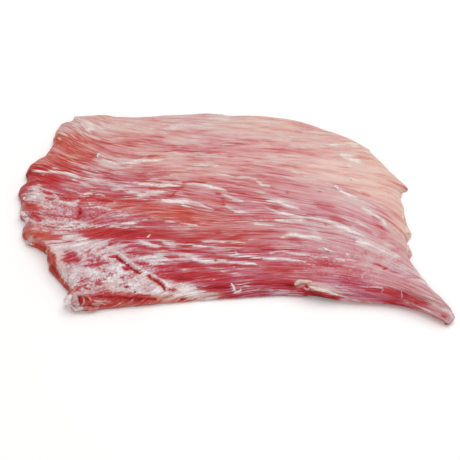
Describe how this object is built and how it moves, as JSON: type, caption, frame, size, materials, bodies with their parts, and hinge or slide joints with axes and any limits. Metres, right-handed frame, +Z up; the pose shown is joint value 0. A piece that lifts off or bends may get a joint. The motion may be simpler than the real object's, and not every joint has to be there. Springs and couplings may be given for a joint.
{
  "type": "raw pork flank",
  "caption": "A raw pork flank: a thin fan of striated muscle with fat and membrane on it, a wide cut edge, torn rims and a rope-like tail, lying flat with the fatty side up.",
  "frame": {"origin": "middle of the bounding box in plan, on the surface that the meat lies on", "axes": "+X along the muscle fibres from the wide cut edge to the tail, +Y from the near long edge to the far one, +Z up through the thin sheet"},
  "size_m": [0.303, 0.2058, 0.014],
  "materials": {
    "raw_pork": "moist raw meat, soft sheen"
  },
  "bodies": {
    "root": {"pork_flank": "raw_pork"}
  },
  "joints": []
}
